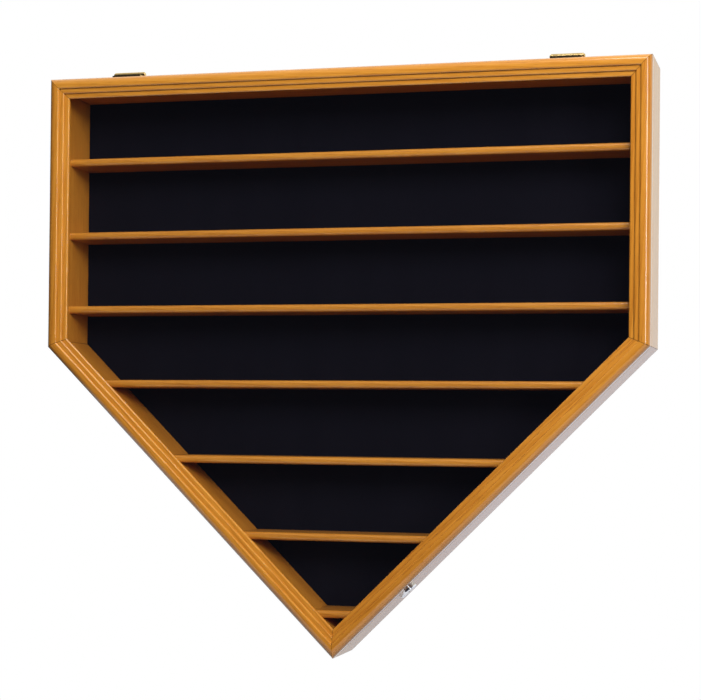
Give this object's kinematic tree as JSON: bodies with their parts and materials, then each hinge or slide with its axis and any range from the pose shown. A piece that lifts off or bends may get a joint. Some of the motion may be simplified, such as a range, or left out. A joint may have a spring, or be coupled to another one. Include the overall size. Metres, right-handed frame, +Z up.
{
  "type": "baseball display cabinet",
  "caption": "Wall display cabinet shaped like a home plate, in lacquered oak with shelves on a black felt back, a lockable clear door hinged at the top.",
  "frame": {"origin": "middle of the top rail's back edge, in the plane of the wall", "axes": "+X to the viewer's right, +Y into the wall, +Z up; the door faces -Y"},
  "size_m": [0.75, 0.098, 0.719],
  "materials": {
    "case_oak": "honey oak, gloss lacquer",
    "door_oak": "honey oak, gloss lacquer",
    "shelf_oak": "honey oak, gloss lacquer",
    "retainer_oak": "stained oak",
    "back_board": "bare hardboard",
    "black_felt": "matt felt",
    "clear_acrylic": "clear, polished",
    "hinge_brass": "polished",
    "hinge_screw_brass": "polished",
    "lock_chrome": "polished",
    "lock_plug_nickel": "brushed",
    "lock_nut_steel": "zinc plated",
    "zinc_steel": "zinc plated",
    "bumper_rubber": "translucent, soft"
  },
  "bodies": {
    "case": {"case_top_rail": "case_oak", "case_left_side": "case_oak", "case_right_side": "case_oak", "case_left_diagonal": "case_oak", "case_right_diagonal": "case_oak", "back_panel": "back_board", "felt_lining": "black_felt", "back_panel_brads": "zinc_steel", "shelf_1": "shelf_oak", "shelf_2": "shelf_oak", "shelf_3": "shelf_oak", "shelf_4": "shelf_oak", "shelf_5": "shelf_oak", "shelf_6": "shelf_oak", "shelf_7": "shelf_oak", "left_wall_hanger": "zinc_steel", "right_wall_hanger": "zinc_steel", "wall_hanger_screws": "zinc_steel", "left_hinge_case_leaf": "hinge_brass", "right_hinge_case_leaf": "hinge_brass", "left_hinge_pin": "hinge_brass", "right_hinge_pin": "hinge_brass", "hinge_case_screws": "hinge_screw_brass", "lock_housing": "lock_chrome", "lock_nut": "lock_nut_steel"},
    "door": {"door_top_rail": "door_oak", "door_left_stile": "door_oak", "door_right_stile": "door_oak", "door_left_diagonal": "door_oak", "door_right_diagonal": "door_oak", "acrylic_panel": "clear_acrylic", "retainer_top": "retainer_oak", "retainer_left": "retainer_oak", "retainer_right": "retainer_oak", "retainer_lower_left": "retainer_oak", "retainer_lower_right": "retainer_oak", "left_hinge_door_leaf": "hinge_brass", "right_hinge_door_leaf": "hinge_brass", "hinge_door_screws": "hinge_screw_brass", "lock_strike": "zinc_steel", "lock_strike_screws": "zinc_steel", "door_bumpers": "bumper_rubber"},
    "lock": {"lock_plug": "lock_plug_nickel", "lock_cam": "zinc_steel", "lock_cam_screw": "zinc_steel"}
  },
  "joints": [
    {"name": "door_hinge", "type": "hinge", "parent": "case", "child": "door", "pos_m": [0, -0.0775, 0.01075], "axis": [-1, 0, 0], "range_deg": [0, 180]},
    {"name": "lock_turn", "type": "hinge", "parent": "case", "child": "lock", "pos_m": [0.08415, -0.063, -0.62035], "axis": [-0.7071, 0, 0.7071], "range_deg": [0, 90]}
  ]
}
